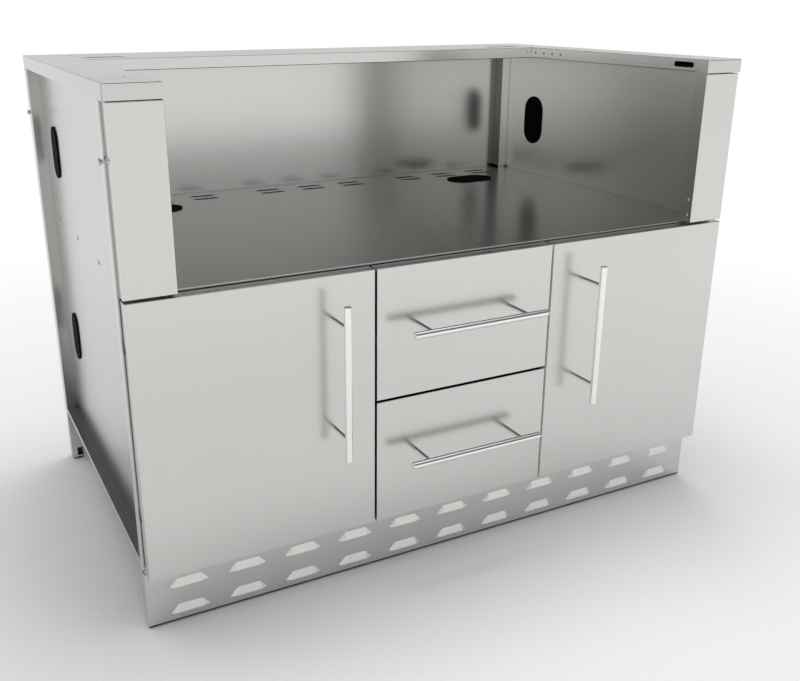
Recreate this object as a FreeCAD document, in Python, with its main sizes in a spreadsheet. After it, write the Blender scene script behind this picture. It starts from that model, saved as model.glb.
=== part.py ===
import FreeCAD, Part
import Sketcher
import os

# Grill base cabinet: a folded stainless carcass with an open grill bay on top, two doors, two drawers
# and a louvred kick plate. Millimetres. x runs right from the centre line and z up from the floor.
# Depths, named d in the code, run back from the front faces of the doors.

DRIVING = {
    # outer size
    "overall_width": 1168,
    "overall_height": 876,
    "body_depth": 727,
    "sheet": 1.2,
    # doors, drawer fronts and post covers
    "front_thickness": 23,
    "frame_gap": 4,
    "edge_inset": 4,
    "front_bottom": 106.5,
    "front_drop": 3.5,
    "front_gap": 4,
    "drawer_bay_half": 177,
    "drawer_split": 337,
    # side panels
    "side_inset": 23,
    "front_lip": 15,
    "rear_flange_setback": 25,
    "base_height": 120,
    "base_lip": 6,
    # top caps and rear ledge
    "cap_width": 83,
    "cap_lip": 24,
    "lip_step": 2,
    "cap_seam_gap": 0.4,
    "cap_front_slit": 0.8,
    "ledge_depth": 192,
    "ledge_clearance": 0.2,
    "ledge_slot_length": 68,
    "ledge_slot_width": 12,
    "ledge_slot_inset": 45.8,
    "ledge_slot_setback": 56,
    "top_hole_radius": 3.5,
    "top_hole_front": 82,
    "top_hole_rear_setback": 245,
    "top_hole_inset": 51,
    "lip_slot_length": 50,
    "lip_slot_width": 10,
    "lip_slot_depth": 60,
    "lip_hole_radius": 2.5,
    "lip_hole_setback": 17,
    "lip_hole_pitch": 30,
    "lip_hole_count": 4,
    # grill bay
    "shelf_top": 574,
    "shelf_lip": 22,
    "shelf_side_flange": 32,
    "cover_gap": 1.3,
    "cover_foot": 1,
    "cover_side_gap": 1,
    "post_flange": 19,
    "post_back_flange": 32,
    "rear_post_depth": 27,
    "rear_post_width": 22,
    "rear_post_foot": 5,
    "vent_length": 50,
    "vent_width": 9,
    "vent_setback": 45,
    "vent_row_pitch": 30,
    "vent_pitch": 100,
    "vent_group_pitch": 353,
    # cable ports closed by plugs
    "port_length": 112,
    "port_width": 67,
    "port_vent_gap": 22,
    "port_rise": 129,
    "port_lower": 329,
    "floor_port_inset": 179.5,
    "plug_rim": 7.8,
    "plug_flange": 2,
    "plug_bead": 0.8,
    "plug_reach": 3,
    "plug_clearance": 0.2,
    # kick plate
    "kick_setback": 29,
    "kick_inset": 2,
    "kick_top": 104,
    "kick_return": 15,
    "ground_gap": 5,
    "louvre_width": 67,
    "louvre_crown": 40,
    "louvre_mouth": 46,
    "louvre_height": 14.5,
    "louvre_lift": 4.2,
    "louvre_edge": 0.6,
    "louvre_side_wall": 2.4,
    "louvre_end": 72,
    "louvre_columns": 11,
    "louvre_low": 18,
    "louvre_row_pitch": 49.5,
    "louvre_rows": 2,
    # legs and levelling feet
    "leg_width": 40,
    "leg_block_low": 40,
    "leg_block_high": 46,
    "front_leg_depth": 32,
    "window_width": 13,
    "window_low": 8,
    "window_high": 27,
    "foot_inset": 18.5,
    "foot_radius": 9.5,
    "foot_base": 7,
    "foot_hex": 28,
    "foot_hex_radius": 8,
    "stem_radius": 4,
    "stem_top": 72,
    "stem_clearance": 0.3,
    # handles
    "handle_length": 265,
    "handle_radius": 6.35,
    "handle_reach": 56,
    "handle_edge": 1,
    "handle_pitch": 192,
    "handle_post_radius": 4,
    "door_handle_x": 252,
    "door_handle_z": 400,
    "drawer_handle_drop": 105.5,
    "handle_screw_radius": 2,
    "handle_screw_head": 4,
    "handle_screw_head_height": 3,
    "handle_screw_length": 12,
    "screw_clearance": 0.1,
    # door hinges
    "hinge_setback": 5,
    "hinge_depth": 3,
    "hinge_drop": 72.5,
    "hinge_rise": 108.5,
    "knuckle_radius": 3.2,
    "pin_radius": 1.6,
    "pin_clearance": 0.05,
    "knuckle_half": 9,
    "knuckle_gap": 0.3,
    "leaf_thickness": 2,
    "door_leaf_thickness": 1.5,
    "door_leaf_reach": 30,
    "frame_leaf_gap": 2,
    "hinge_room": 1.3,
    # drawers
    "slide_width": 13,
    "slide_height": 45,
    "slide_length": 500,
    "slide_setback": 32,
    "slide_clearance": 0.4,
    "slide_web_gap": 0.6,
    "slide_mouth": 3,
    "box_length": 500,
    "box_rise": 33.5,
    "box_drop": 40,
    "slide_rise": 60,
    # fasteners and small holes
    "joint_screw_drop": 108,
    "joint_screw_inset": 9.5,
    "joint_screw_rear": 12,
    "joint_screw_radius": 2.5,
    "joint_screw_head": 4.5,
    "joint_screw_head_height": 3,
    "joint_screw_proud": 5,
    "joint_screw_tail": 6,
    "cover_screw_depth": 14,
    "cover_screw_rise": 14.5,
    "cover_screw_pitch": 30,
    "cover_side_screw_drop": 104,
    "cover_screw_radius": 2.5,
    "cover_screw_head": 4,
    "cover_screw_head_height": 2,
    "cover_screw_tail": 5,
    "cover_socket_radius": 1.8,
    "cover_socket_depth": 1.3,
    "rivet_radius": 2,
    "rivet_head": 3.5,
    "rivet_head_height": 1,
    "rivet_count": 3,
    "shelf_rivet_drop": 10,
    "shelf_rivet_first": 268,
    "shelf_rivet_setback": 86,
    "rack_rivet_z": 390,
    "rack_rivet_first": 220,
    "rack_rivet_setback": 242,
    "divider_flange": 18,
    "kick_screw_lap": 6,
}

SIDES = ("left", "right")

doc = FreeCAD.newDocument("grill_base_cabinet")
dims = doc.addObject("Spreadsheet::Sheet", "dims")
for row, (alias, number) in enumerate(DRIVING.items(), start=1):
    dims.set(f"A{row}", alias)
    dims.set(f"B{row}", str(number))
    dims.setAlias(f"B{row}", alias)
doc.recompute()


class Size:
    """A length as expression text, which stays bound to the sheet, with its present number."""

    def __init__(self, text, number):
        self.text = text
        self.number = number

    def joined(self, sign, other, number):
        return Size(f"({self.text} {sign} {text_of(other)})", number)

    def __add__(self, other):
        return self.joined("+", other, self.number + number_of(other))

    def __radd__(self, other):
        return self + other

    def __sub__(self, other):
        return self.joined("-", other, self.number - number_of(other))

    def __rsub__(self, other):
        return -self + other

    def __neg__(self):
        return Size(f"(0 - {self.text})", -self.number)

    def __mul__(self, other):
        return self.joined("*", other, self.number * number_of(other))

    def __truediv__(self, other):
        return self.joined("/", other, self.number / number_of(other))


def text_of(value):
    return value.text if isinstance(value, Size) else str(value)


def number_of(value):
    return value.number if isinstance(value, Size) else value


def lesser(a, b):
    return Size(f"min({text_of(a)}; {text_of(b)})", min(number_of(a), number_of(b)))


class Sheet:
    """The cells of the sheet by their names."""

    def __getattr__(self, alias):
        return Size(f"dims.{alias}", DRIVING[alias])


cell = Sheet()
nodes = []


def bind(part, name, value):
    part.setExpression(name, text_of(value))


def place(part, x, d, z):
    """Bind a part's corner or axis start, with d measured back from the door fronts."""
    bind(part, ".Placement.Base.x", x)
    bind(part, ".Placement.Base.y", front_plane + d)
    bind(part, ".Placement.Base.z", z)


def box(x, d, z):
    """A block between two limits each way."""
    block = doc.addObject("Part::Box", "block")
    bind(block, "Length", x[1] - x[0])
    bind(block, "Width", d[1] - d[0])
    bind(block, "Height", z[1] - z[0])
    place(block, x[0], d[0], z[0])
    return block


AXIS_TURNS = {
    "x": FreeCAD.Rotation(FreeCAD.Vector(0, 1, 0), 90),
    "d": FreeCAD.Rotation(FreeCAD.Vector(1, 0, 0), -90),
    "z": FreeCAD.Rotation(),
}


def rod(axis, span, centre, radius):
    """A cylinder along x, d or z between two limits; centre gives the other two places in that order."""
    bar = doc.addObject("Part::Cylinder", "rod")
    bind(bar, "Radius", radius)
    bind(bar, "Height", span[1] - span[0])
    bar.Placement.Rotation = AXIS_TURNS[axis]
    start = dict(zip([name for name in "xdz" if name != axis], centre))
    start[axis] = span[0]
    place(bar, start["x"], start["d"], start["z"])
    return bar


def joined(parts):
    """Parts made in one piece."""
    if len(parts) == 1:
        return parts[0]
    whole = doc.addObject("Part::MultiFuse", "joined")
    whole.Shapes = parts
    whole.Refine = True
    return whole


def group(parts):
    """Separate solids kept together under one name."""
    bundle = doc.addObject("Part::Compound", "group")
    bundle.Links = parts
    return bundle


def cut(base, tools):
    """A part with holes or recesses taken out of it."""
    if not tools:
        return base
    result = doc.addObject("Part::Cut", "cut")
    result.Base = base
    result.Tool = tools[0] if len(tools) == 1 else group(tools)
    result.Refine = True
    return result


def obround(through, span, along, centre, length, width):
    """A slot-shaped block: through one axis, long along another, rounded at both ends."""
    reach = (length - width) / 2
    limits = {}
    limits[through] = span
    other = [name for name in "xdz" if name not in (through, along)][0]
    limits[along] = (centre[along] - reach, centre[along] + reach)
    limits[other] = (centre[other] - width / 2, centre[other] + width / 2)
    parts = [box(limits["x"], limits["d"], limits["z"])]
    for end in limits[along]:
        spot = dict(centre)
        spot[along] = end
        parts.append(rod(through, span, [spot[name] for name in "xdz" if name != through], width / 2))
    return joined(parts)


def rounded(base, corners, radius):
    """Round the straight edges that lie on two planes, such as ("x", a) and ("z", b)."""
    doc.recompute()
    tolerance = 1e-4
    chosen = []
    for number, edge in enumerate(base.Shape.Edges, start=1):
        for first, second in corners:
            if lies_on(edge, first, tolerance) and lies_on(edge, second, tolerance):
                chosen.append((number, radius.number, radius.number))
                break
    fold = doc.addObject("Part::Fillet", "fold")
    fold.Base = base
    fold.Edges = chosen
    return fold


def lies_on(edge, plane, tolerance):
    axis, value = plane
    target = number_of(value)
    if axis == "d":
        target += front_plane.number
    index = "xdz".index(axis)
    return all(abs(point.Point[index] - target) < tolerance for point in edge.Vertexes)


def across(side, inner, outer):
    """Limits along x for the right-hand piece, or their mirror image for the left."""
    if side == "right":
        return (inner, outer)
    return (-outer, -inner)


def span_x(side, first, second):
    """Limits along x from two places given in either order."""
    return across(side, *sorted((first, second), key=number_of))


def at(side, place_x):
    return place_x if side == "right" else -place_x


def node(label, part):
    part.Label = label
    nodes.append(part)


# Places that several pieces share
front_plane = (cell.handle_reach - cell.body_depth) / 2
half_width = cell.overall_width / 2
front_edge = half_width - cell.edge_inset
frame_front = cell.front_thickness + cell.frame_gap
side_outer = half_width - cell.side_inset
side_inner = side_outer - cell.sheet
lip_inner = half_width - cell.sheet
back_face = cell.body_depth
back_inner = cell.body_depth - cell.sheet
rear_flange = cell.body_depth - cell.rear_flange_setback
base_top = cell.base_height + cell.base_lip
base_under = base_top - cell.sheet
top_under = cell.overall_height - cell.sheet
cap_bottom = cell.overall_height - cell.cap_lip
lip_bottom = cap_bottom + cell.lip_step
cap_inner = half_width - cell.cap_width
side_top = cap_bottom - cell.cap_seam_gap
shelf_under = cell.shelf_top - cell.sheet
front_top = cell.shelf_top - cell.front_drop
vent_rows = (back_face - cell.vent_setback - cell.vent_row_pitch, back_face - cell.vent_setback)
port_d = vent_rows[0] - cell.vent_width / 2 - cell.port_vent_gap - cell.port_width / 2
port_heights = (cell.shelf_top + cell.port_rise, cell.port_lower)
floor_port_x = side_inner - cell.floor_port_inset
joint_screw_z = cell.overall_height - cell.joint_screw_drop
cover_screw_heights = (cell.shelf_top + cell.cover_screw_rise,
                       cell.shelf_top + cell.cover_screw_rise + cell.cover_screw_pitch)
cover_side_screw_z = cell.overall_height - cell.cover_side_screw_drop
ledge_front = cell.body_depth - cell.ledge_depth
ledge_end = cap_inner - cell.ledge_clearance
kick_face = cell.kick_setback
kick_back = cell.kick_setback + cell.sheet
kick_half = half_width - cell.kick_inset
divider_inner = cell.drawer_bay_half - cell.sheet / 2
divider_outer = cell.drawer_bay_half + cell.sheet / 2
door_inner_edge = cell.drawer_bay_half + cell.front_gap / 2
drawer_edge = cell.drawer_bay_half - cell.front_gap / 2
hinge_x = front_edge - cell.hinge_setback
hinge_d = cell.front_thickness - cell.hinge_depth
bar_axis = cell.handle_radius - cell.handle_reach
hinge_heights = (front_top - cell.hinge_drop, cell.front_bottom + cell.hinge_rise)
knuckle_end = cell.knuckle_half * 2 + cell.knuckle_gap
slot_half = cell.knuckle_half + cell.hinge_room
web_room = cell.leaf_thickness / 2 + cell.hinge_room
PAST = 1  # how far a cutting block runs past the face that it opens


def port(axis, span, along, x, d, z, margin):
    """The outline of a cable port grown by a margin, as a block."""
    centre = {"x": x, "d": d, "z": z}
    return obround(axis, span, along, centre, cell.port_length + margin * 2, cell.port_width + margin * 2)


port_inset = -cell.plug_rim


def spread(first, setback):
    """Depths of a row of rivets, evenly spread from the first to one that is set in from the back."""
    step = (back_face - setback - first) / (DRIVING["rivet_count"] - 1)
    return [first + step * count for count in range(DRIVING["rivet_count"])]


shelf_rivet_z = cell.shelf_top - cell.shelf_rivet_drop
shelf_rivet_depths = spread(cell.shelf_rivet_first, cell.shelf_rivet_setback)
shelf_rivet_spots = [(depth, shelf_rivet_z) for depth in shelf_rivet_depths]
rack_rivet_depths = spread(cell.rack_rivet_first, cell.rack_rivet_setback)
rack_rivet_spots = [(depth, cell.rack_rivet_z) for depth in rack_rivet_depths]


def side_panel(side):
    web = box(across(side, side_inner, side_outer), (frame_front, rear_flange + cell.sheet),
              (base_under, top_under))
    front_flange = box(across(side, side_outer, half_width), (frame_front, frame_front + cell.sheet),
                       (cell.base_height, side_top))
    front_return = box(across(side, lip_inner, half_width), (frame_front, frame_front + cell.front_lip),
                       (cell.base_height, side_top))
    back_flange = box(across(side, side_outer, half_width), (rear_flange, rear_flange + cell.sheet),
                      (cell.base_height, side_top))
    back_return = box(across(side, lip_inner, half_width), (rear_flange, back_face),
                      (cell.base_height, side_top))
    bottom_flange = box(across(side, side_outer, lip_inner), (frame_front, back_inner),
                        (base_under, base_top))
    bottom_lip = box(across(side, lip_inner, half_width), (frame_front, back_face),
                     (cell.base_height, base_top))
    top_flange = box(across(side, side_outer, lip_inner - cell.cap_seam_gap),
                     (frame_front, rear_flange + cell.sheet), (top_under - cell.sheet, top_under))
    panel = joined([web, front_flange, front_return, back_flange, back_return, bottom_flange, bottom_lip,
                    top_flange])
    sign_x = at(side, half_width)
    panel = rounded(panel, [
        (("x", sign_x), ("d", frame_front)),
        (("x", sign_x), ("d", rear_flange)),
        (("x", sign_x), ("z", base_top)),
    ], cell.sheet)
    through = across(side, side_inner - PAST, side_outer + PAST)
    tools = []
    for height in port_heights:
        tools.append(port("x", through, "z", 0, port_d, height, port_inset))
    for spot in shelf_rivet_spots + rack_rivet_spots:
        tools.append(rod("x", through, spot, cell.rivet_radius))
    for height in hinge_heights:
        tools.append(box(across(side, hinge_x - web_room, hinge_x + web_room),
                         (frame_front - PAST, frame_front + cell.sheet * 2),
                         (height - slot_half, height + slot_half)))
    lip_through = across(side, lip_inner - PAST, half_width + PAST)
    for depth in joint_screw_depths:
        tools.append(rod("x", lip_through, (depth, joint_screw_z),
                         cell.joint_screw_radius + cell.screw_clearance))
    node(f"{side}_side_panel", cut(panel, tools))


joint_screw_depths = (frame_front + cell.joint_screw_inset, back_face - cell.joint_screw_rear)


def back_panel():
    node("back_panel", box((-lip_inner, lip_inner), (back_inner, back_face), (cell.base_height, side_top)))


def top_cap(side):
    whole = box(across(side, cap_inner, half_width), (0, back_face), (lip_bottom, cell.overall_height))
    skirt = box(across(side, lip_inner, half_width), (0, back_face), (cap_bottom, lip_bottom))
    front_skirt = box(across(side, cap_inner, half_width), (0, cell.sheet), (cap_bottom, lip_bottom))
    back_skirt = box(across(side, cap_inner, half_width), (back_inner, back_face), (cap_bottom, lip_bottom))
    cap = joined([whole, skirt, front_skirt, back_skirt])
    cap = rounded(cap, [
        (("x", at(side, half_width)), ("z", cell.overall_height)),
        (("x", at(side, cap_inner)), ("z", cell.overall_height)),
        (("x", at(side, half_width)), ("d", 0)),
    ], cell.sheet)
    hollow = box(across(side, cap_inner + cell.sheet, lip_inner), (cell.sheet, back_inner),
                 (lip_bottom - PAST, top_under))
    slit = box(across(side, cap_inner + cell.sheet, lip_inner), (-PAST, cell.sheet + PAST),
               (top_under - cell.cap_front_slit, top_under))
    tools = [hollow, slit]
    for depth in (cell.top_hole_front, back_face - cell.top_hole_rear_setback):
        tools.append(rod("z", (top_under - PAST, cell.overall_height + PAST),
                         (at(side, half_width - cell.top_hole_inset), depth), cell.top_hole_radius))
    lip_through = across(side, cap_inner - PAST, cap_inner + cell.sheet + PAST)
    lip_middle = (cell.overall_height + lip_bottom) / 2
    spot = {"x": 0, "d": cell.lip_slot_depth, "z": lip_middle}
    tools.append(obround("x", lip_through, "d", spot, cell.lip_slot_length, cell.lip_slot_width))
    for count in range(DRIVING["lip_hole_count"]):
        depth = ledge_front - cell.lip_hole_setback - cell.lip_hole_pitch * count
        tools.append(rod("x", lip_through, (depth, lip_middle), cell.lip_hole_radius))
    node(f"{side}_top_cap", cut(cap, tools))


def rear_ledge():
    whole = box((-ledge_end, ledge_end), (ledge_front, back_face), (lip_bottom, cell.overall_height))
    back_skirt = box((-ledge_end, ledge_end), (back_inner, back_face), (cap_bottom, lip_bottom))
    ledge = rounded(joined([whole, back_skirt]), [
        (("d", ledge_front), ("z", cell.overall_height)),
    ], cell.sheet)
    tools = [box((-ledge_end + cell.sheet, ledge_end - cell.sheet), (ledge_front + cell.sheet, back_inner),
                 (lip_bottom - PAST, top_under))]
    slot_depth = ledge_front + cell.ledge_slot_setback
    for side in SIDES:
        spot = {"x": at(side, ledge_end - cell.ledge_slot_inset), "d": slot_depth, "z": 0}
        tools.append(obround("z", (top_under - PAST, cell.overall_height + PAST), "x", spot,
                             cell.ledge_slot_length, cell.ledge_slot_width))
    node("rear_ledge", cut(ledge, tools))


def grill_shelf():
    plate = box((-side_inner, side_inner), (frame_front, back_inner), (shelf_under, cell.shelf_top))
    lip_low = cell.shelf_top - cell.shelf_lip
    front = box((-side_inner, side_inner), (frame_front, frame_front + cell.sheet), (lip_low, shelf_under))
    flanges = []
    for side in SIDES:
        flanges.append(box(across(side, side_inner - cell.sheet, side_inner),
                           (frame_front + cell.sheet, back_inner),
                           (cell.shelf_top - cell.shelf_side_flange, shelf_under)))
    shelf = rounded(joined([plate, front] + flanges), [
        (("d", frame_front), ("z", cell.shelf_top)),
    ], cell.sheet)
    through = (shelf_under - PAST, cell.shelf_top + PAST)
    tools = []
    for side in SIDES:
        tools.append(port("z", through, "x", at(side, floor_port_x), port_d, 0, port_inset))
        for spot in shelf_rivet_spots:
            tools.append(rod("x", across(side, side_inner - cell.sheet - PAST, side_inner + PAST), spot,
                             cell.rivet_radius))
    for depth in vent_rows:
        for bank in (-1, 0, 1):
            for step in (-1, 0, 1):
                x = cell.vent_group_pitch * bank + cell.vent_pitch * step
                spot = {"x": x, "d": depth, "z": 0}
                tools.append(obround("z", through, "x", spot, cell.vent_length, cell.vent_width))
    node("grill_shelf", cut(shelf, tools))


def bottom_panel():
    plate = box((-side_inner, side_inner), (kick_back, back_inner), (base_under, base_top))
    lip = box((-side_inner, side_inner), (kick_back, kick_back + cell.sheet),
              (cell.kick_top - cell.kick_screw_lap, base_under))
    node("bottom_panel", joined([plate, lip]))


def divider(side):
    front = frame_front + cell.sheet
    low = base_top
    web = box(across(side, divider_inner, divider_outer), (front, back_inner), (low, shelf_under))
    flange_x = across(side, divider_outer, divider_outer + cell.divider_flange)
    stile = box(flange_x, (front, front + cell.sheet), (low, shelf_under))
    foot = box(flange_x, (kick_back + cell.sheet, back_inner), (low, low + cell.sheet))
    head = box(flange_x, (front, back_inner), (shelf_under - cell.sheet, shelf_under))
    node(f"{side}_divider", joined([web, stile, foot, head]))


def front_post(side):
    seat = cap_inner + cell.sheet
    web = box(across(side, seat, side_inner), (frame_front, frame_front + cell.sheet),
              (cell.shelf_top, top_under))
    tongue = box(across(side, seat, seat + cell.sheet), (frame_front - cell.post_flange, frame_front),
                 (cell.shelf_top + cell.cover_foot + cell.sheet, side_top - cell.cover_gap - cell.sheet))
    flange = box(across(side, side_inner - cell.sheet, side_inner),
                 (frame_front + cell.sheet, frame_front + cell.post_back_flange),
                 (cell.shelf_top, top_under))
    holes = []
    for height in cover_screw_heights:
        holes.append(rod("x", across(side, seat - PAST, seat + cell.sheet + PAST),
                         (cell.cover_screw_depth, height), cell.cover_screw_radius + cell.screw_clearance))
    node(f"{side}_front_post", cut(joined([web, tongue, flange]), holes))


def post_cover(side):
    low = cell.shelf_top + cell.cover_foot
    high = cap_bottom - cell.cover_gap
    whole = rounded(box(across(side, cap_inner, front_edge), (0, cell.front_thickness), (low, high)), [
        (("x", at(side, cap_inner)), ("d", 0)),
        (("x", at(side, front_edge)), ("d", 0)),
        (("z", low), ("d", 0)),
        (("z", high), ("d", 0)),
    ], cell.sheet)
    hollow = box(across(side, cap_inner + cell.sheet, front_edge - cell.sheet),
                 (cell.sheet, cell.front_thickness + PAST), (low + cell.sheet, high - cell.sheet))
    inner_wall = across(side, cap_inner, cap_inner + cell.sheet)
    frame_back = frame_front + cell.sheet
    deep_return = box(inner_wall, (cell.front_thickness, frame_back), (low, high))
    lip_tab = box(inner_wall, (cell.sheet * 2, frame_back), (high, lip_bottom - cell.cap_seam_gap))
    side_return = box(across(side, front_edge - cell.sheet, front_edge),
                      (cell.front_thickness, frame_front - cell.cover_side_gap), (low, high))
    hole_radius = cell.cover_screw_radius + cell.screw_clearance
    holes = [rod("x", across(side, front_edge - cell.sheet - PAST, front_edge + PAST),
                 (cell.cover_screw_depth, cover_side_screw_z), hole_radius)]
    for height in cover_screw_heights:
        holes.append(rod("x", across(side, cap_inner - PAST, cap_inner + cell.sheet + PAST),
                         (cell.cover_screw_depth, height), hole_radius))
    cover = joined([cut(whole, [hollow]), deep_return, lip_tab, side_return])
    node(f"{side}_post_cover", cut(cover, holes))


def socket_screw(side, face, outward, reach, centre):
    """A button-head screw along x, seated on a face, with a drive socket. outward is 1 or -1."""
    crown = face + cell.cover_screw_head_height * outward
    floor = crown - cell.cover_socket_depth * outward
    head = rod("x", span_x(side, face, crown), centre, cell.cover_screw_head)
    shank = rod("x", span_x(side, face, face - reach * outward), centre, cell.cover_screw_radius)
    socket = rod("x", span_x(side, floor, crown + PAST * outward), centre, cell.cover_socket_radius)
    return cut(joined([head, shank]), [socket])


def post_cover_screws():
    screws = []
    for side in SIDES:
        for height in cover_screw_heights:
            screws.append(socket_screw(side, cap_inner, -1, cell.sheet * 2 + cell.cover_screw_tail,
                                       (cell.cover_screw_depth, height)))
        screws.append(socket_screw(side, front_edge, 1, cell.sheet + cell.cover_screw_tail,
                                   (cell.cover_screw_depth, cover_side_screw_z)))
    node("post_cover_screws", group(screws))


def shelf_rivets():
    """Rivets through each side panel and the shelf's side flange, with a head on both faces."""
    rivets = []
    shelf_face = side_inner - cell.sheet
    for side in SIDES:
        for centre in shelf_rivet_spots:
            outer_head = across(side, side_outer, side_outer + cell.rivet_head_height)
            inner_head = across(side, shelf_face - cell.rivet_head_height, shelf_face)
            shank_radius = cell.rivet_radius - cell.screw_clearance
            rivets.append(joined([
                rod("x", outer_head, centre, cell.rivet_head),
                rod("x", across(side, shelf_face, side_outer), centre, shank_radius),
                rod("x", inner_head, centre, cell.rivet_head),
            ]))
    node("shelf_rivets", group(rivets))


def joining_screws():
    screws = []
    for side in SIDES:
        for depth in joint_screw_depths:
            centre = (depth, joint_screw_z)
            tip = half_width + cell.joint_screw_proud
            head = rod("x", across(side, tip - cell.joint_screw_head_height, tip), centre,
                       cell.joint_screw_head)
            shank = rod("x", across(side, lip_inner - cell.joint_screw_tail, tip), centre,
                        cell.joint_screw_radius)
            screws.append(joined([head, shank]))
    node("joining_screws", group(screws))


def rear_post(side):
    inner = side_inner - cell.rear_post_width
    front = back_inner - cell.rear_post_depth
    face = box(across(side, inner, side_inner), (front, front + cell.sheet), (cell.shelf_top, top_under))
    web = box(across(side, inner, inner + cell.sheet), (front + cell.sheet, back_inner),
              (cell.shelf_top + cell.rear_post_foot, top_under))
    node(f"{side}_rear_post", joined([face, web]))


foot_x = half_width - cell.foot_inset
front_foot_d = kick_back + cell.front_leg_depth / 2
rear_foot_d = (rear_flange + cell.sheet + back_face) / 2


def foot_hole(side, depth):
    return rod("z", (cell.leg_block_low - PAST, cell.leg_block_high + PAST), (at(side, foot_x), depth),
               cell.stem_radius + cell.stem_clearance)


def rear_leg(side):
    inner = lip_inner - cell.leg_width
    face = box(across(side, inner, lip_inner), (rear_flange, rear_flange + cell.sheet),
               (cell.ground_gap, cell.base_height))
    cheek = box(across(side, lip_inner, half_width), (rear_flange, back_face),
                (cell.ground_gap, cell.base_height))
    block = box(across(side, inner, lip_inner), (rear_flange + cell.sheet, back_face),
                (cell.leg_block_low, cell.leg_block_high))
    window = box(across(side, foot_x - cell.window_width / 2, foot_x + cell.window_width / 2),
                 (rear_flange - PAST, rear_flange + cell.sheet + PAST), (cell.window_low, cell.window_high))
    node(f"{side}_rear_leg", cut(joined([face, cheek, block]), [window, foot_hole(side, rear_foot_d)]))


def front_leg(side):
    outer = kick_half - cell.sheet
    cheek = box(across(side, outer - cell.sheet, outer), (kick_back, kick_back + cell.front_leg_depth),
                (cell.ground_gap, base_under))
    block = box(across(side, outer - cell.leg_width, outer - cell.sheet),
                (kick_back, kick_back + cell.front_leg_depth), (cell.leg_block_low, cell.leg_block_high))
    node(f"{side}_front_leg", cut(joined([cheek, block]), [foot_hole(side, front_foot_d)]))


def levelling_foot(label, side, depth):
    spot = (at(side, foot_x), depth)
    base = rod("z", (0, cell.foot_base), spot, cell.foot_radius)
    collar = doc.addObject("Part::Prism", "collar")
    collar.Polygon = 6
    bind(collar, "Circumradius", cell.foot_hex_radius)
    bind(collar, "Height", cell.foot_hex - cell.foot_base)
    place(collar, spot[0], depth, cell.foot_base)
    stem = rod("z", (cell.foot_hex, cell.stem_top), spot, cell.stem_radius)
    node(label, joined([base, collar, stem]))


def plug(axis, flange_face, far_face, toward, along, x, d, z):
    """A rubber plug: a flange on one face of the sheet, a neck through the port and a beaded end.
    toward is 1 or -1, the way from the flange to the beaded end."""

    def slice_of(start, length, margin):
        limits = sorted((start, start + length * toward), key=number_of)
        return port(axis, limits, along, x, d, z, margin)

    return joined([slice_of(flange_face, -cell.plug_flange, 0),
                   slice_of(flange_face, cell.sheet, port_inset - cell.plug_clearance),
                   slice_of(far_face, cell.plug_reach, port_inset + cell.plug_bead)])


def plugs():
    closers = []
    for side in SIDES:
        outward = 1 if side == "right" else -1
        for height in port_heights:
            closers.append(plug("x", at(side, side_inner), at(side, side_outer), outward, "z",
                                0, port_d, height))
        closers.append(plug("z", cell.shelf_top, shelf_under, -1, "x",
                            at(side, floor_port_x), port_d, 0))
    node("port_plugs", group(closers))


def origin_feature(body, role):
    return [item for item in body.Origin.OriginFeatures if item.Role == role][0]


def outline(body, name, plane, points, offset):
    """A closed sketch through points, every one held from the sketch's origin by two bound lengths."""
    sketch = body.newObject("Sketcher::SketchObject", name)
    sketch.AttachmentSupport = [(origin_feature(body, plane), "")]
    sketch.MapMode = "FlatFace"
    bind(sketch, ".AttachmentOffset.Base.z", offset)
    corners = [FreeCAD.Vector(number_of(u), number_of(v), 0) for u, v in points]
    total = len(corners)
    for index in range(total):
        sketch.addGeometry(Part.LineSegment(corners[index], corners[(index + 1) % total]), False)
    for index in range(total):
        sketch.addConstraint(Sketcher.Constraint("Coincident", index, 2, (index + 1) % total, 1))
    for index, point in enumerate(points):
        for kind, value in zip(("DistanceX", "DistanceY"), point):
            number = sketch.addConstraint(Sketcher.Constraint(kind, -1, 1, index, 1, number_of(value)))
            sketch.setExpression(f"Constraints[{number}]", text_of(value))
    return sketch


def louvre_section(body, name, low, high, low_half, high_half, offset):
    x = cell.louvre_end - kick_half
    points = [(x - low_half, low), (x + low_half, low), (x + high_half, high), (x - high_half, high)]
    return outline(body, name, "XZ_Plane", points, offset)


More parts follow.
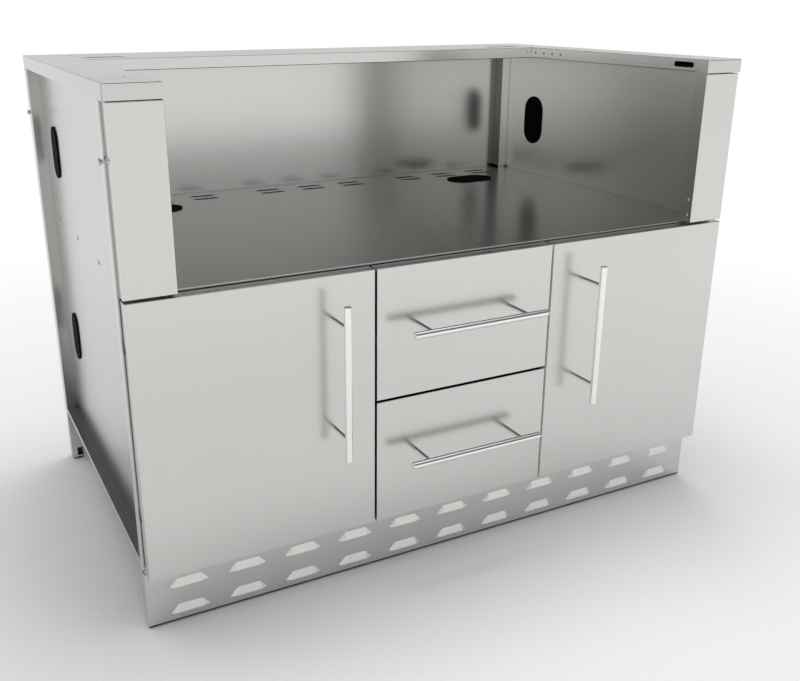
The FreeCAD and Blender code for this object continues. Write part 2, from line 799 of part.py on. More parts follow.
def kick_plate():
    body = doc.addObject("PartDesign::Body", "kick_plate")
    bind(body, ".Placement.Base.y", front_plane + kick_face)
    inner = kick_half - cell.sheet
    plan = outline(body, "kick_plan", "XY_Plane", [
        (-kick_half, 0), (kick_half, 0), (kick_half, cell.kick_return), (inner, cell.kick_return),
        (inner, cell.sheet), (-inner, cell.sheet), (-inner, cell.kick_return),
        (-kick_half, cell.kick_return),
    ], cell.ground_gap)
    plate = body.newObject("PartDesign::Pad", "plate")
    plate.Profile = plan
    bind(plate, "Length", cell.kick_top - cell.ground_gap)
    doc.recompute()
    low = cell.louvre_low
    wall = cell.sheet
    edge = cell.louvre_edge
    hood = body.newObject("PartDesign::AdditiveLoft", "hood")
    hood.Profile = louvre_section(body, "hood_root", low, low + cell.louvre_height,
                                  cell.louvre_width / 2, cell.louvre_crown / 2, 0)
    hood.Sections = [louvre_section(body, "hood_edge", low, low + edge,
                                    cell.louvre_mouth / 2, cell.louvre_mouth / 2, cell.louvre_lift)]
    hood.Ruled = True
    doc.recompute()
    mouth_half = cell.louvre_mouth / 2 - cell.louvre_side_wall
    mouth = body.newObject("PartDesign::SubtractiveLoft", "mouth")
    mouth.Profile = louvre_section(body, "mouth_root", low - edge, low + cell.louvre_height - wall - edge,
                                   cell.louvre_width / 2 - cell.louvre_side_wall,
                                   cell.louvre_crown / 2 - wall, -wall - edge)
    mouth.Sections = [louvre_section(body, "mouth_edge", low - edge, low + edge, mouth_half, mouth_half,
                                     cell.louvre_lift - wall)]
    mouth.Ruled = True
    doc.recompute()
    along = body.newObject("PartDesign::LinearPattern", "columns")
    along.Direction = (origin_feature(body, "X_Axis"), [""])
    bind(along, "Length", (kick_half - cell.louvre_end) * 2)
    bind(along, "Occurrences", cell.louvre_columns)
    up = body.newObject("PartDesign::LinearPattern", "rows")
    up.Direction = (origin_feature(body, "Z_Axis"), [""])
    bind(up, "Length", cell.louvre_row_pitch * (cell.louvre_rows - 1))
    bind(up, "Occurrences", cell.louvre_rows)
    louvres = body.newObject("PartDesign::MultiTransform", "louvres")
    louvres.Originals = [hood, mouth]
    louvres.Transformations = [along, up]
    body.Tip = louvres
    node("kick_plate", body)


def hinge_ring(spans, side):
    """Knuckle rings round the pin between pairs of heights, still without their bore."""
    return [rod("z", span, (at(side, hinge_x), hinge_d), cell.knuckle_radius) for span in spans]


def hinge_bore(side, height, clearance):
    return rod("z", (height - knuckle_end, height + knuckle_end), (at(side, hinge_x), hinge_d),
               cell.pin_radius + clearance)


def frame_hinge_leaves():
    leaves = []
    for side in SIDES:
        for height in hinge_heights:
            zone = (height - cell.knuckle_half, height + cell.knuckle_half)
            back = frame_front + cell.sheet
            web_half = cell.leaf_thickness / 2
            web = box(across(side, hinge_x - web_half, hinge_x + web_half),
                      (hinge_d, back + cell.leaf_thickness), zone)
            foot = box(across(side, side_outer + cell.frame_leaf_gap, hinge_x + web_half),
                       (back, back + cell.leaf_thickness), zone)
            solid = joined(hinge_ring([zone], side) + [web, foot])
            leaves.append(cut(solid, [hinge_bore(side, height, cell.pin_clearance)]))
    node("frame_hinge_leaves", group(leaves))


def hinge_pins():
    pins = [hinge_bore(side, height, 0) for side in SIDES for height in hinge_heights]
    node("hinge_pins", group(pins))


def door_hinge_leaves(side):
    leaves = []
    liner_front = cell.front_thickness - cell.sheet
    start = cell.knuckle_half + cell.knuckle_gap
    for height in hinge_heights:
        spans = [(height + start, height + knuckle_end), (height - knuckle_end, height - start)]
        edge = hinge_x - cell.knuckle_radius - cell.hinge_room
        thickness = (liner_front - cell.door_leaf_thickness, liner_front)
        plate = box(across(side, hinge_x - cell.door_leaf_reach, edge), thickness,
                    (height - knuckle_end, height + knuckle_end))
        tongues = [box(across(side, edge, hinge_x), thickness, span) for span in spans]
        solid = joined(hinge_ring(spans, side) + [plate] + tongues)
        leaves.append(cut(solid, [hinge_bore(side, height, cell.pin_clearance)]))
    node(f"{side}_door_hinge_leaves", group(leaves))


def front_pan(x, z, holes):
    """A folded front: a flat face with four returns, rounded at its folds and open at the back."""
    whole = rounded(box(x, (0, cell.front_thickness), z), [
        (("x", x[0]), ("d", 0)), (("x", x[1]), ("d", 0)), (("z", z[0]), ("d", 0)), (("z", z[1]), ("d", 0)),
    ], cell.sheet)
    hollow = box((x[0] + cell.sheet, x[1] - cell.sheet), (cell.sheet, cell.front_thickness + PAST),
                 (z[0] + cell.sheet, z[1] - cell.sheet))
    return cut(whole, [hollow] + holes)


def liner(x, z):
    """The flat back sheet that closes a front pan, inside its returns."""
    return box((x[0] + cell.sheet, x[1] - cell.sheet),
               (cell.front_thickness - cell.sheet, cell.front_thickness),
               (z[0] + cell.sheet, z[1] - cell.sheet))


def handle_spots(upright, x, z):
    """The two places where a handle is fixed."""
    reach = cell.handle_pitch / 2
    if upright:
        return [(x, z - reach), (x, z + reach)]
    return [(x - reach, z), (x + reach, z)]


def screw_holes(spots):
    radius = cell.handle_screw_radius + cell.screw_clearance
    return [rod("d", (-PAST, cell.sheet + PAST), spot, radius) for spot in spots]


def handle(prefix, upright, x, z):
    half = cell.handle_length / 2
    if upright:
        core = rod("z", (z - half, z + half), (x, bar_axis), cell.handle_radius)
        ends = [(("z", z - half), ("z", z - half)), (("z", z + half), ("z", z + half))]
    else:
        core = rod("x", (x - half, x + half), (bar_axis, z), cell.handle_radius)
        ends = [(("x", x - half), ("x", x - half)), (("x", x + half), ("x", x + half))]
    node(f"{prefix}_handle_bar", rounded(core, ends, cell.handle_edge))
    posts = []
    screws = []
    for spot in handle_spots(upright, x, z):
        post = rod("d", (bar_axis, 0), spot, cell.handle_post_radius)
        if upright:
            saddle = rod("z", (spot[1] - half, spot[1] + half), (x, bar_axis), cell.handle_radius)
        else:
            saddle = rod("x", (spot[0] - half, spot[0] + half), (bar_axis, z), cell.handle_radius)
        bore = rod("d", (-cell.handle_screw_length - PAST, PAST), spot,
                   cell.handle_screw_radius + cell.screw_clearance)
        posts.append(cut(post, [saddle, bore]))
        shank = rod("d", (-cell.handle_screw_length, cell.sheet), spot, cell.handle_screw_radius)
        head = rod("d", (cell.sheet, cell.sheet + cell.handle_screw_head_height), spot,
                   cell.handle_screw_head)
        screws.append(joined([shank, head]))
    node(f"{prefix}_handle_posts", group(posts))
    node(f"{prefix}_handle_screws", group(screws))


def door(side):
    x = across(side, door_inner_edge, front_edge)
    z = (cell.front_bottom, front_top)
    handle_x = at(side, cell.door_handle_x)
    holes = screw_holes(handle_spots(True, handle_x, cell.door_handle_z))
    room = cell.knuckle_radius + cell.hinge_room
    notches = []
    for height in hinge_heights:
        holes.append(box(across(side, front_edge - cell.sheet - PAST, front_edge + PAST),
                         (hinge_d - cell.leaf_thickness - cell.hinge_room / 2, cell.front_thickness + PAST),
                         (height - slot_half, height + slot_half)))
        reach = knuckle_end + cell.hinge_room
        notches.append(box(across(side, hinge_x - room, front_edge),
                           (cell.front_thickness - cell.sheet - PAST, cell.front_thickness + PAST),
                           (height - reach, height + reach)))
    node(f"{side}_door_skin", front_pan(x, z, holes))
    node(f"{side}_door_liner", cut(liner(x, z), notches))
    door_hinge_leaves(side)
    handle(f"{side}_door", True, handle_x, cell.door_handle_z)


def channel(side, web, flange, half_height, height, span):
    """A C-shaped slide member; web and flange are limits in from the divider's face."""
    wall = cell.sheet
    web_x = across(side, divider_inner - web[1], divider_inner - web[0])
    flange_x = across(side, divider_inner - flange[1], divider_inner - flange[0])
    return joined([
        box(web_x, span, (height - half_height, height + half_height)),
        box(flange_x, span, (height + half_height - wall, height + half_height)),
        box(flange_x, span, (height - half_height, height - half_height + wall)),
    ])


slide_span = (cell.slide_setback, cell.slide_setback + cell.slide_length)
rail_half = cell.slide_height / 2
middle_half = rail_half - cell.sheet - cell.slide_clearance
runner_half = middle_half - cell.sheet - cell.slide_clearance
middle_web = cell.sheet + cell.slide_web_gap
middle_inner = middle_web + cell.sheet
runner_web = cell.slide_width - cell.sheet


def slide_rail(side, height):
    return channel(side, (0, cell.sheet), (cell.sheet, cell.slide_width - cell.slide_mouth), rail_half,
                   height, slide_span)


def slide_middle(side, height):
    return channel(side, (middle_web, middle_inner), (middle_inner, runner_web - cell.slide_web_gap),
                   middle_half, height, slide_span)


def slide_runner(side, height):
    return channel(side, (runner_web, cell.slide_width), (middle_inner + cell.slide_web_gap, runner_web),
                   runner_half, height, slide_span)


def drawer(prefix, z):
    """A drawer whose front spans the heights z, with its box, handle and slides set from the front."""
    x = (-drawer_edge, drawer_edge)
    handle_z = z[1] - cell.drawer_handle_drop
    box_low = z[0] + cell.box_rise
    holes = screw_holes(handle_spots(False, 0, handle_z))
    node(f"{prefix}_drawer_front", front_pan(x, z, holes))
    node(f"{prefix}_drawer_liner", liner(x, z))
    handle(f"{prefix}_drawer", False, 0, handle_z)
    half = divider_inner - cell.slide_width
    start = cell.front_thickness
    high = box_low + box_height
    tub = box((-half, half), (start, start + cell.box_length), (box_low, high))
    inside = box((-half + cell.sheet, half - cell.sheet),
                 (start + cell.sheet, start + cell.box_length - cell.sheet),
                 (box_low + cell.sheet, high + PAST))
    node(f"{prefix}_drawer_box", cut(tub, [inside]))
    slide_z = box_low + cell.slide_rise
    node(f"{prefix}_drawer_runners", group([slide_runner(side, slide_z) for side in SIDES]))
    node(f"{prefix}_slide_middles", group([slide_middle(side, slide_z) for side in SIDES]))


half_split = cell.front_gap / 2
drawer_fronts = {
    "upper": (cell.drawer_split + half_split, front_top),
    "lower": (cell.front_bottom, cell.drawer_split - half_split),
}
# Both drawers have the same box, as tall as the shorter of the two fronts allows.
front_heights = [high - low for low, high in drawer_fronts.values()]
box_height = lesser(*front_heights) - cell.box_rise - cell.box_drop


def slide_rails():
    rails = []
    for low, high in drawer_fronts.values():
        for side in SIDES:
            rails.append(slide_rail(side, low + cell.box_rise + cell.slide_rise))
    node("slide_rails", group(rails))


for side in SIDES:
    side_panel(side)
    top_cap(side)
    front_post(side)
    post_cover(side)
    rear_post(side)
    rear_leg(side)
    front_leg(side)
    divider(side)
    door(side)
    levelling_foot(f"{side}_front_foot", side, front_foot_d)
    levelling_foot(f"{side}_rear_foot", side, rear_foot_d)
back_panel()
rear_ledge()
grill_shelf()
bottom_panel()
kick_plate()
plugs()
post_cover_screws()
shelf_rivets()
joining_screws()
frame_hinge_leaves()
hinge_pins()
slide_rails()
for prefix, heights in drawer_fronts.items():
    drawer(prefix, heights)

doc.recompute()
for item in doc.Objects:
    if "Invalid" in item.State or "Error" in item.State:
        raise RuntimeError(f"{item.Name} ({item.Label}) failed to rebuild: {item.State}")
for part in nodes:
    if part.Shape.isNull() or not part.Shape.isValid():
        raise RuntimeError(f"{part.Label} has no valid shape")

os.makedirs("parts", exist_ok=True)
for part in nodes:
    part.Shape.exportStep(f"parts/{part.Label}.step")
print(f"{len(nodes)} parts written")
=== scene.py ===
import math

import bmesh
import bpy
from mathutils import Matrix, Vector


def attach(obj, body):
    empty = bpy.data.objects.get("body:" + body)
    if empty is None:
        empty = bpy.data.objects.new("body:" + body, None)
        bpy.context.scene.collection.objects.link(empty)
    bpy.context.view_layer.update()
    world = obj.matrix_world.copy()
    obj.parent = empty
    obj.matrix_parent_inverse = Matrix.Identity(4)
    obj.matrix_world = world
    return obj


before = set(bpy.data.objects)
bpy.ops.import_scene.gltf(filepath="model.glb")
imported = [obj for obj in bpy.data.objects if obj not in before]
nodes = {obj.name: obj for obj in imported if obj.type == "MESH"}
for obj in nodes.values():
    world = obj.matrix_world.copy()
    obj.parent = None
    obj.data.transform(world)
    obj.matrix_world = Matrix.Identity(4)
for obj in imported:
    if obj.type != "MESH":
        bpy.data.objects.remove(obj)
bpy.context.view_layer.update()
scene = bpy.context.scene

# Lengths are in metres, in the frame's axes: x to the right, y to the back, z up

# The photo's camera: sizes in pixels, place in metres, angles in degrees
PHOTO_WIDTH = 800
PHOTO_HEIGHT = 681
FOCAL_LENGTH = 923.03
VIEW_CENTRE = (372.7, 326.8)
SENSOR_WIDTH = 36.0
CAMERA_PLACE = (-0.8335, -1.6029, 0.9765)
CAMERA_DOWN = 19.44
CAMERA_TURN = -27.15

# How bright the studio is at each height of its wall, as the sine of the angle above the floor
STUDIO = (
    (0.0, 0.97), (0.08, 0.97), (0.13, 0.9), (0.18, 0.6), (0.28, 0.33), (0.4, 0.15), (0.7, 0.12),
    (0.8, 0.5), (0.87, 1.0), (1.0, 1.0),
)

# Each lamp's degrees above the floor, degrees round from the right end, width and power
LAMPS = {
    "key": (78, 60, 2.2, 48.0),
    "front_fill": (50, 310, 3.0, 21.0),
    "left_fill": (50, 150, 3.0, 20.0),
}
LAMP_DISTANCE = 3.6

# The floor's half width and shade, and the distances over which it runs out to white
FLOOR_HALF = 40.0
FLOOR_SHADE = 0.9
FLOOR_FADE = (0.7, 2.4)

# The part of a noise's range that is used, and how much less blue than red the sheet's grey has
NOISE_RANGE = (0.25, 0.75)
WARMTH = 0.035

# How fast the brushed grain changes along each axis, for sheets brushed along x, y or z
GRAINS = {"x": (5.0, 420.0, 420.0), "y": (420.0, 5.0, 420.0), "z": (420.0, 420.0, 5.0)}
SHEET_ROUGHNESS = (0.2, 0.26)

# How far the painted shade of gaps and corners looks for a wall across a gap, and how open a place is where
# it is full and where it ends
CORNER_SHADE_REACH = 0.012
CORNER_SHADE_RANGE = (0.22, 0.62)

# The shelf's vent slots: three groups of three columns in two rows
VENT_GROUP = 0.353
VENT_PITCH = 0.1
VENT_LENGTH = 0.05
VENT_WIDTH = 0.009
VENT_ROWS = 0.03
VENT_MIDDLE = 0.3315

# The ledge's cable slots, the painted shade in and round both kinds of slot, and the width over which it
# fades
CABLE_SLOT_CENTRE = (0.455, 0.2555, 0)
CABLE_SLOT_RUN = 0.056
CABLE_SLOT_SHADE_RADIUS = 0.014
VENT_SHADE_RADIUS = VENT_WIDTH / 2 + 0.003
SLOT_SHADE_FADE = 0.0003

# Places where painted shade darkens the colour, or where the painted shade of gaps and corners is left out,
# where both_x is the distance to the left or to the right
UNDER_CAP = {"z": (0.8525, 0.88)}
SIDE_WEB = {"both_x": (0.5604, 0.5825)}
SIDE_LIPS = {"both_x": (0.5825, 0.6), "y": (-0.2935, 0.4)}
SIDE_FRONT_LIP = {"both_x": (0.5825, 0.6), "y": (-0.31, -0.2935)}
CAP_SKIRT = {"both_x": (0.5825, 0.6)}
CAP_FRONT = {"y": (-0.34, -0.335)}
CAP_LIP_HOLES = {"both_x": (0.5011, 0.5021), "y": (-0.334, 0.38), "z": (0.8545, 0.8735)}
CAP_TOP_HOLES = {"both_x": (0.528, 0.538), "y": (-0.27, 0.17), "z": (0.87485, 0.8758)}
DRAWER_RIGHT_EDGE = {"x": (0.17, 0.18), "y": (-0.3352, -0.3)}
LOWER_SOCKET = {"both_x": (0.4991, 0.5005), "y": (-0.3235, -0.3195), "z": (0.5865, 0.5905)}
UPPER_SOCKET = {"both_x": (0.4991, 0.5005), "y": (-0.3235, -0.3195), "z": (0.6165, 0.6205)}

# Half of the section of the dark strip along a lip's lower edge, a painted shadow line, sideways from the
# sheet's middle and up from its lower edge
LIP_SHADOW_SECTION = (
    (0.00062, -0.00003), (0.00062, 0.0006), (0.0009, 0.0006), (0.0009, -0.00005), (0.0008, -0.0002),
    (0.0005, -0.00032),
)

# Half of the sections of the dark strip under the kick plate, a painted contact shadow, and of the pale band
# on a door's inner edge, painted light for the gap
KICK_SHADOW_SECTION = ((0.0071, 0.0), (0.0071, -0.0014), (0.0063, -0.0025), (0.003, -0.0029))
BAND_SECTION = ((0.0104, 0.0), (0.0101, 0.0002), (0.0096, 0.0003))

# Where the strips run
LIP_EDGE = 0.854
CAP_LIP_X = 0.5016
CAP_LIP_RUN = (-0.3065, 0.1975)
LEDGE_LIP_Y = 0.2001
LEDGE_LIP_END = 0.4985
DOOR_EDGE_X = 0.179
DOOR_EDGE_Y = -0.3236
DOOR_EDGE_RUN = (0.1085, 0.5685)
KICK_SHADOW_END = 0.5815
KICK_SHADOW_Y = -0.2993
KICK_SHADOW_TOP = 0.005


class Graph:
    """A short way to add nodes to a shader and join them."""

    def __init__(self, owner):
        owner.use_nodes = True
        self.tree = owner.node_tree
        self.tree.nodes.clear()

    def add(self, kind, **settings):
        made = self.tree.nodes.new(kind)
        for name, value in settings.items():
            setattr(made, name, value)
        return made

    def join(self, source, target):
        self.tree.links.new(source, target)

    def feed(self, made, values):
        """Give a node its inputs in order, each a plain value or another node's output."""
        for socket, value in zip(made.inputs, values):
            if isinstance(value, bpy.types.NodeSocket):
                self.join(value, socket)
            else:
                socket.default_value = value

    def maths(self, operation, *values):
        made = self.add("ShaderNodeMath", operation=operation)
        self.feed(made, values)
        return made.outputs["Value"]

    def sums(self, source, *steps):
        """Put a number through one sum after another, each an operation and its second number."""
        for operation, number in steps:
            source = self.maths(operation, source, number)
        return source

    def vectors(self, operation, *values):
        made = self.add("ShaderNodeVectorMath", operation=operation)
        self.feed(made, values)
        return made.outputs["Value" if operation == "LENGTH" else "Vector"]

    def coordinates(self, kind):
        return self.add("ShaderNodeTexCoord").outputs[kind]

    def axes(self, kind):
        """The x, y and z of a coordinate."""
        split = self.add("ShaderNodeSeparateXYZ")
        self.join(self.coordinates(kind), split.inputs["Vector"])
        return split.outputs

    def step(self, source, start, end, low, high, ease="SMOOTHSTEP"):
        """Take a number from one value to another as its source goes from start to end."""
        span = self.add("ShaderNodeMapRange", interpolation_type=ease)
        self.feed(span, (source, start, end, low, high))
        return span.outputs["Result"]

    def grain(self, scale, detail=3.0, warp=0.0):
        """Noise in the object's own metres, stretched by the scale along each axis."""
        mapping = self.add("ShaderNodeMapping")
        mapping.inputs["Scale"].default_value = scale
        self.join(self.coordinates("Object"), mapping.inputs["Vector"])
        noise = self.add("ShaderNodeTexNoise")
        noise.inputs["Scale"].default_value = 1.0
        noise.inputs["Detail"].default_value = detail
        noise.inputs["Distortion"].default_value = warp
        self.join(mapping.outputs["Vector"], noise.inputs["Vector"])
        return noise.outputs["Fac"]

    def spread(self, source, low, high):
        """Turn a noise into a number between two limits."""
        return self.step(source, *NOISE_RANGE, low, high, ease="LINEAR")

    def tint(self, source, dark, light):
        """Turn a noise into a colour between two shades."""
        ramp = self.add("ShaderNodeValToRGB")
        for stop, place, shade in zip(ramp.color_ramp.elements, NOISE_RANGE, (dark, light)):
            stop.position = place
            stop.color = (*shade, 1)
        self.join(source, ramp.inputs["Fac"])
        return ramp.outputs["Color"]

    def bump(self, source, strength, distance):
        bump = self.add("ShaderNodeBump")
        bump.inputs["Strength"].default_value = strength
        bump.inputs["Distance"].default_value = distance
        self.join(source, bump.inputs["Height"])
        return bump.outputs["Normal"]

    def painted_nook_shade(self, dark):
        """Painted shade: a number that falls from one in the open to a given value deep in a gap or corner.
        """
        around = self.add("ShaderNodeAmbientOcclusion", samples=8)
        around.inputs["Distance"].default_value = CORNER_SHADE_REACH
        return self.step(around.outputs["AO"], *CORNER_SHADE_RANGE, dark, 1.0)

    def within(self, dark, ranges):
        """A number that is one, and a given value in a place given by ranges along the axes."""
        place = self.axes("Object")
        inside = None
        for axis, (low, high) in ranges.items():
            source = place[axis[-1].upper()]
            if axis.startswith("both_"):
                source = self.maths("ABSOLUTE", source)
            near = self.maths("COMPARE", source, (low + high) / 2, (high - low) / 2)
            inside = self.maths("MULTIPLY", inside, near) if inside else near
        return self.step(inside, 0.0, 1.0, 1.0, dark)

    def cable_slots(self, dark):
        """Painted shade: a number that is one, and a given value in and close round the ledge's two cable
        slots.
        """
        both = self.vectors("ABSOLUTE", self.coordinates("Object"))
        offset = self.vectors("ABSOLUTE", self.vectors("SUBTRACT", both, CABLE_SLOT_CENTRE))
        past = self.vectors("SUBTRACT", offset, (CABLE_SLOT_RUN / 2, 0, 1))
        away = self.vectors("LENGTH", self.vectors("MAXIMUM", past))
        return self.step(away, CABLE_SLOT_SHADE_RADIUS - SLOT_SHADE_FADE, CABLE_SLOT_SHADE_RADIUS, dark, 1.0)

    def vents(self, dark):
        """Painted shade: a number that is one, and a given value in and close round the shelf's vent slots.
        """
        place = self.axes("Object")
        along = self.sums(
            place["X"], ("ABSOLUTE", 0.0), ("PINGPONG", VENT_GROUP / 2), ("MINIMUM", VENT_PITCH * 1.5),
            ("PINGPONG", VENT_PITCH / 2), ("SUBTRACT", (VENT_LENGTH - VENT_WIDTH) / 2), ("MAXIMUM", 0.0))
        across = self.sums(
            place["Y"], ("SUBTRACT", VENT_MIDDLE), ("ABSOLUTE", 0.0), ("SUBTRACT", VENT_ROWS / 2))
        offset = self.add("ShaderNodeCombineXYZ")
        self.feed(offset, (along, across))
        away = self.vectors("LENGTH", offset.outputs["Vector"])
        return self.step(away, VENT_SHADE_RADIUS - SLOT_SHADE_FADE, VENT_SHADE_RADIUS, dark, 1.0)

    def sideways(self, dark):
        """Painted shade: a number that is one on most faces and a given value on those that look left or
        right.
        """
        return self.step(self.maths("ABSOLUTE", self.axes("Normal")["X"]), 0.5, 0.95, 1.0, dark)

    def dimmed(self, colour, *amounts):
        for amount in amounts:
            scaled = self.add("ShaderNodeVectorMath", operation="SCALE")
            self.join(colour, scaled.inputs[0])
            self.join(amount, scaled.inputs["Scale"])
            colour = scaled.outputs["Vector"]
        return colour

    def mixed(self, share, first, second):
        mix = self.add("ShaderNodeMixShader")
        self.feed(mix, (share, first, second))
        return mix.outputs["Shader"]

    def surface(self, metallic=0.0, specular=0.5):
        shader = self.add("ShaderNodeBsdfPrincipled")
        shader.inputs["Metallic"].default_value = metallic
        shader.inputs["Specular IOR Level"].default_value = specular
        output = self.add("ShaderNodeOutputMaterial")
        self.join(shader.outputs["BSDF"], output.inputs["Surface"])
        return shader.inputs


def grey(value, warm=0.0):
    return (value, value * (1 - 0.3 * warm), value * (1 - warm))


def shaded(dark, place):
    """Painted shade for a finish: how much of its colour is left in one place."""
    return lambda graph: graph.within(dark, place)


def brushed_steel(name, axis, *dims, shade=0.66, nook=0.01, unshaded=None):
    """Sheet with a fine grain along one axis, a slow change in polish, and painted shade in its gaps and
    corners.

    A nook of one leaves the painted shade out, and so does the place given to keep clear of it.
    """
    material = bpy.data.materials.new(name)
    graph = Graph(material)
    shader = graph.surface(metallic=1.0)
    streaks = graph.grain(GRAINS[axis], detail=4.0)
    patches = graph.grain((3.0, 3.0, 3.0), detail=2.0)
    both = graph.maths("MULTIPLY_ADD", streaks, 0.6, graph.maths("MULTIPLY", patches, 0.4))
    colour = graph.tint(both, grey(shade * 0.97, WARMTH), grey(shade * 1.03, WARMTH))
    if nook < 1:
        painted_shade = graph.painted_nook_shade(nook)
        if unshaded:
            painted_shade = graph.maths("POWER", painted_shade, graph.within(0.0, unshaded))
        colour = graph.dimmed(colour, painted_shade)
    graph.join(graph.dimmed(colour, *(dim(graph) for dim in dims)), shader["Base Color"])
    graph.join(graph.spread(both, *SHEET_ROUGHNESS), shader["Roughness"])
    graph.join(graph.bump(streaks, 0.06, 0.0002), shader["Normal"])
    return material


def mottled(name, scale, shades, rough, *dims, detail=3.0, warp=0.0, bump=None, **gloss):
    """A finish whose colour, polish and relief follow one noise."""
    material = bpy.data.materials.new(name)
    graph = Graph(material)
    shader = graph.surface(**gloss)
    noise = graph.grain(scale, detail, warp)
    colour = graph.tint(noise, *shades)
    graph.join(graph.dimmed(colour, *(dim(graph) for dim in dims)), shader["Base Color"])
    graph.join(graph.spread(noise, *rough), shader["Roughness"])
    if bump:
        graph.join(graph.bump(noise, *bump), shader["Normal"])
    return material


def turned_steel(name, shade, *dims):
    return mottled(
        name, (700.0, 700.0, 700.0), (grey(shade * 0.91), grey(shade * 1.09)), (0.24, 0.34), *dims,
        bump=(0.05, 0.0001), metallic=1.0)


def black_moulding(name, shade, fine, rough, gloss):
    """Rubber or plastic, with the fine texture that the mould leaves."""
    return mottled(
        name, (fine, fine, fine), (grey(shade * 0.8), grey(shade * 1.2)), rough, detail=4.0,
        bump=(0.15, 0.0002), specular=gloss)


# Painted shade darkens every sheet in its gaps and corners, unless its nook is one
SHEETS = {axis: brushed_steel(f"brushed_sheet_{axis}", axis) for axis in GRAINS}
# Side panels: a lighter copy of the sheet, painted shade on the outer face and lips, and the strip hidden
# under the cap painted nearly black as shade
SHEETS["side"] = brushed_steel(
    "side_sheet", "z", shaded(0.02, UNDER_CAP), shaded(0.78, SIDE_WEB), shaded(0.78, SIDE_LIPS),
    shaded(0.86, SIDE_FRONT_LIP), shade=0.68, nook=0.45, unshaded=SIDE_FRONT_LIP)
# Rear posts: painted shade on the faces that look left or right, standing in for a dark reflection
SHEETS["post"] = brushed_steel("post_sheet", "z", lambda graph: graph.sideways(0.24))
# Caps: a lighter copy of the sheet, painted shade on the outer skirt and front face, and the holes painted
# nearly black as shade
SHEETS["cap"] = brushed_steel(
    "cap_sheet", "y", shaded(0.7, CAP_SKIRT), shaded(0.05, CAP_LIP_HOLES), shaded(0.05, CAP_TOP_HOLES),
    shaded(0.87, CAP_FRONT), shade=0.72, nook=1.0)
SHEETS["open"] = brushed_steel("open_sheet", "z", nook=1.0)
SHEETS["drawer"] = brushed_steel("drawer_sheet", "z", unshaded=DRAWER_RIGHT_EDGE)
SHEETS["corner"] = brushed_steel("corner_sheet", "z", nook=0.35)
# The ledge: painted shade in and round its cable slots
SHEETS["ledge"] = brushed_steel("ledge_sheet", "x", lambda graph: graph.cable_slots(0.03))
# The shelf: painted shade in and round its vent slots
SHEETS["shelf"] = brushed_steel("shelf_sheet", "x", lambda graph: graph.vents(0.02))

# The finishes by material slot, or by node where one has its own
FINISHES = {
    "polished_steel": mottled(
        "polished_steel", (60.0, 60.0, 60.0), (grey(0.87, 0.02), grey(0.92, 0.02)), (0.04, 0.07),
        metallic=1.0),
    "plated_steel": mottled(
        "plated_steel", (90.0, 90.0, 90.0), ((0.5, 0.51, 0.53), (0.6, 0.61, 0.63)), (0.3, 0.4),
        detail=2.0, warp=1.0, metallic=1.0),
    "fastener_steel": turned_steel("fastener_steel", 0.55),
    # The post cover screws: a lighter copy of the fastener steel as a painted highlight, with their sockets
    # painted nearly black as shade
    "post_cover_screws": turned_steel(
        "socket_screw_steel", 0.8, shaded(0.01, LOWER_SOCKET), shaded(0.01, UPPER_SOCKET)),
    "black_rubber": black_moulding("black_rubber", 0.006, 900.0, (0.64, 0.76), 0.03),
    "black_plastic": black_moulding("black_plastic", 0.02, 600.0, (0.36, 0.48), 0.15),
}

# A pale matt finish for the band on a door's inner edge, painted light for the gap, with fine marks across it
GAP_LIGHT_BAND_FINISH = mottled(
    "gap_light_band", (30.0, 30.0, 900.0), (grey(0.9, WARMTH), grey(0.95, WARMTH)), (0.6, 0.75),
    bump=(0.1, 0.0001), specular=0.2)

# The sheets of the nodes that aren't simply brushed upright
SHEET_OF = {"grill_shelf": "shelf", "kick_plate": "x", "rear_ledge": "ledge", "bottom_panel": "x"}
for side in ("left", "right"):
    SHEET_OF[f"{side}_top_cap"] = "cap"
    SHEET_OF[f"{side}_side_panel"] = "side"
    SHEET_OF[f"{side}_rear_post"] = "post"
    SHEET_OF[f"{side}_front_post"] = "corner"
    SHEET_OF[f"{side}_post_cover"] = "open"
    SHEET_OF[f"{side}_door_skin"] = "open"
for level in ("upper", "lower"):
    SHEET_OF[f"{level}_drawer_box"] = "y"
    SHEET_OF[f"{level}_drawer_front"] = "drawer"

for name, node in nodes.items():
    slot = node.data.materials[0].name
    node.data.materials[0] = FINISHES.get(name) or FINISHES.get(slot) or SHEETS[SHEET_OF.get(name, "z")]


def edge_strip(name, start, end, section, up=(0, 0, 1), body="cabinet", slot="black_rubber", finish=None):
    """A thin strip that follows the edge of a sheet, from one point to another."""
    along = (Vector(end) - Vector(start)).normalized()
    sideways = along.cross(Vector(up))
    loop = [(-out, rise) for out, rise in section] + [(out, rise) for out, rise in reversed(section)]
    points = [Vector(spot) + sideways * out + Vector(up) * rise
              for spot in (start, end) for out, rise in loop]
    count = len(loop)
    faces = [(i, (i + 1) % count, (i + 1) % count + count, i + count) for i in range(count)]
    faces += [tuple(reversed(range(count))), tuple(range(count, 2 * count))]
    mesh = bpy.data.meshes.new(name)
    mesh.from_pydata(points, [], faces)
    solid = bmesh.new()
    solid.from_mesh(mesh)
    bmesh.ops.recalc_face_normals(solid, faces=solid.faces)
    solid.to_mesh(mesh)
    solid.free()
    mesh.materials.append(finish or FINISHES[slot])
    strip = bpy.data.objects.new(name, mesh)
    scene.collection.objects.link(strip)
    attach(strip, body)


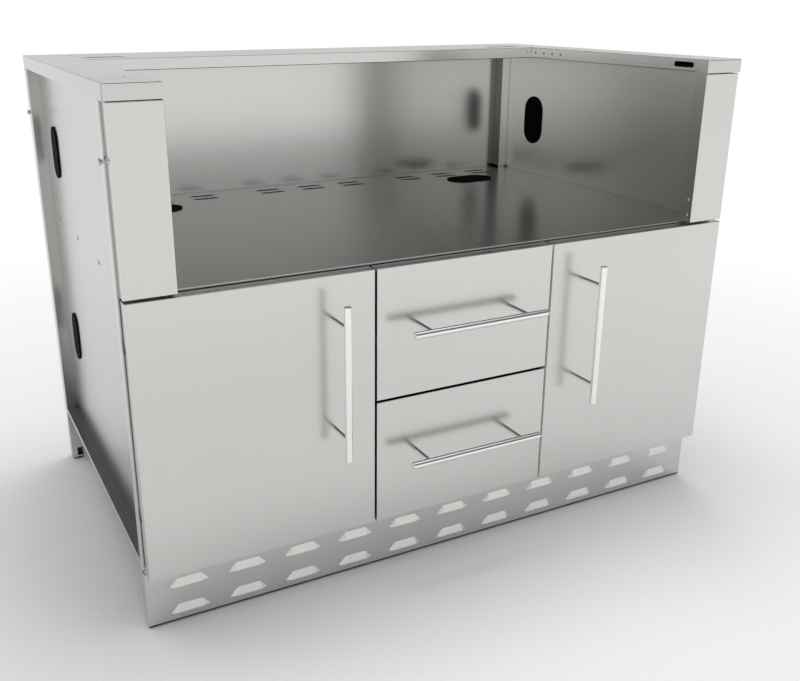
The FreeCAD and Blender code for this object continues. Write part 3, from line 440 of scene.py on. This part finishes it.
for side, sign in (("left", -1), ("right", 1)):
    # A dark strip under each cap's inner lip, a painted shadow line
    edge_strip(f"{side}_lip_shadow_strip", *((sign * CAP_LIP_X, y, LIP_EDGE) for y in CAP_LIP_RUN), LIP_SHADOW_SECTION)
    # A pale matt band on each door's inner edge, painted light that brightens the gap to the drawers
    edge_strip(
        f"{side}_door_gap_light_band", *((sign * DOOR_EDGE_X, DOOR_EDGE_Y, z) for z in DOOR_EDGE_RUN),
        BAND_SECTION, up=(-sign, 0, 0), body=f"{side}_door", slot="brushed_sheet", finish=GAP_LIGHT_BAND_FINISH)
# A dark strip under the ledge's lip, a painted shadow line
edge_strip("ledge_lip_shadow_strip", (-LEDGE_LIP_END, LEDGE_LIP_Y, LIP_EDGE),
           (LEDGE_LIP_END, LEDGE_LIP_Y, LIP_EDGE), LIP_SHADOW_SECTION)
# A dark strip under the kick plate, a painted contact shadow on the floor
edge_strip("kick_shadow_strip", (-KICK_SHADOW_END, KICK_SHADOW_Y, KICK_SHADOW_TOP),
           (KICK_SHADOW_END, KICK_SHADOW_Y, KICK_SHADOW_TOP), KICK_SHADOW_SECTION)


def light_world():
    """A white studio with a dark band half-way up its wall, which the camera itself sees as plain white."""
    world = bpy.data.worlds.new("studio")
    scene.world = world
    graph = Graph(world)
    ramp = graph.add("ShaderNodeValToRGB")
    stops = ramp.color_ramp.elements
    for place, shade in STUDIO[1:-1]:
        stops.new(place)
    for stop, (place, shade) in zip(stops, STUDIO):
        stop.position = place
        stop.color = (shade, shade, shade, 1)
    graph.join(graph.axes("Generated")["Z"], ramp.inputs["Fac"])
    lit = graph.add("ShaderNodeBackground")
    graph.join(ramp.outputs["Color"], lit.inputs["Color"])
    seen = graph.add("ShaderNodeBackground")
    seen.inputs["Color"].default_value = (1, 1, 1, 1)
    path = graph.add("ShaderNodeLightPath")
    output = graph.add("ShaderNodeOutputWorld")
    graph.join(graph.mixed(path.outputs["Is Camera Ray"], lit.outputs["Background"],
                           seen.outputs["Background"]), output.inputs["Surface"])


def lay_floor():
    """A pale floor that keeps the shadow near the cabinet and runs out to plain white."""
    mesh = bpy.data.meshes.new("floor")
    corners = [(x * FLOOR_HALF, y * FLOOR_HALF, 0) for x, y in ((-1, -1), (1, -1), (1, 1), (-1, 1))]
    mesh.from_pydata(corners, [], [(0, 1, 2, 3)])
    floor = bpy.data.objects.new("floor", mesh)
    scene.collection.objects.link(floor)
    material = bpy.data.materials.new("floor")
    mesh.materials.append(material)
    graph = Graph(material)
    matt = graph.add("ShaderNodeBsdfDiffuse")
    matt.inputs["Color"].default_value = (*grey(FLOOR_SHADE), 1)
    white = graph.add("ShaderNodeEmission")
    distance = graph.vectors("LENGTH", graph.coordinates("Object"))
    path = graph.add("ShaderNodeLightPath").outputs
    seen = graph.maths("MAXIMUM", path["Is Camera Ray"], path["Is Glossy Ray"])
    share = graph.maths("MULTIPLY", graph.step(distance, *FLOOR_FADE, 0.0, 1.0), seen)
    output = graph.add("ShaderNodeOutputMaterial")
    graph.join(graph.mixed(share, matt.outputs["BSDF"], white.outputs["Emission"]), output.inputs["Surface"])


def hang_lamps():
    """Large soft lamps for the floor and its shadow; the steel mirrors the studio itself."""
    for name, (height, turn, size, power) in LAMPS.items():
        light = bpy.data.lights.new(name, "AREA")
        light.shape = "DISK"
        light.size = size
        light.energy = power
        lamp = bpy.data.objects.new(name, light)
        scene.collection.objects.link(lamp)
        lamp.visible_glossy = False
        rise, round_by = math.radians(height), math.radians(turn)
        flat = LAMP_DISTANCE * math.cos(rise)
        lamp.location = (flat * math.cos(round_by), flat * math.sin(round_by), LAMP_DISTANCE * math.sin(rise))
        lamp.rotation_euler = (-lamp.location).to_track_quat("-Z", "Y").to_euler()


def set_camera():
    lens = bpy.data.cameras.new("camera")
    lens.sensor_width = SENSOR_WIDTH
    lens.lens = FOCAL_LENGTH * SENSOR_WIDTH / PHOTO_WIDTH
    lens.shift_x = (PHOTO_WIDTH / 2 - VIEW_CENTRE[0]) / PHOTO_WIDTH
    lens.shift_y = -(PHOTO_HEIGHT / 2 - VIEW_CENTRE[1]) / PHOTO_WIDTH
    camera = bpy.data.objects.new("camera", lens)
    scene.collection.objects.link(camera)
    camera.location = CAMERA_PLACE
    camera.rotation_euler = (math.radians(90 - CAMERA_DOWN), 0, math.radians(CAMERA_TURN))
    scene.camera = camera


light_world()
lay_floor()
hang_lamps()
set_camera()
scene.view_settings.view_transform = "Standard"
